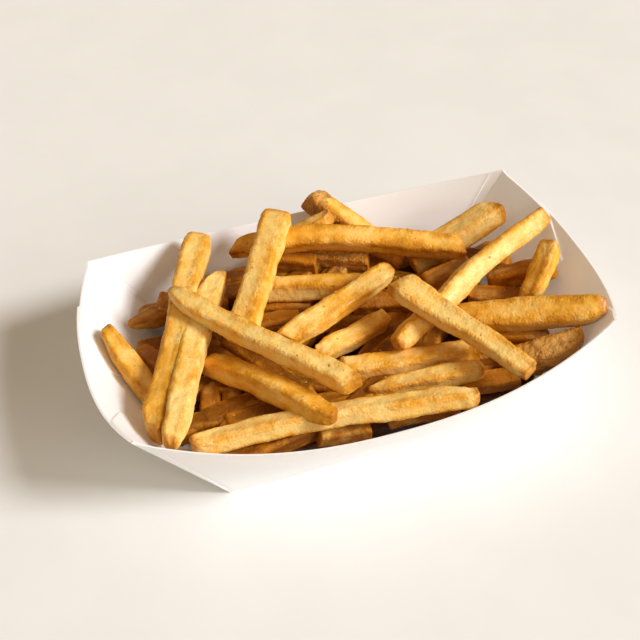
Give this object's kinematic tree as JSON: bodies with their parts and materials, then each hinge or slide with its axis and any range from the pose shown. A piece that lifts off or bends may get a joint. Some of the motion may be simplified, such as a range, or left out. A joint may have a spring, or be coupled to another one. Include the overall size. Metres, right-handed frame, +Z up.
{
  "type": "french fries in a paper tray",
  "caption": "Open folded paper food tray with flared, curved walls, heaped with thin-cut french fries of uneven length lying across each other.",
  "frame": {"origin": "centre of the tray's flat base, on the surface it stands on", "axes": "+X along the tray's length, +Y across it toward the wall shown at the back, +Z up"},
  "size_m": [0.176, 0.115, 0.0468],
  "materials": {
    "paper_board": "matt white coated paper board",
    "fried_potato": "golden fried crust with a thin film of oil"
  },
  "bodies": {
    "root": {"tray": "paper_board", "fries": "fried_potato"}
  },
  "joints": []
}
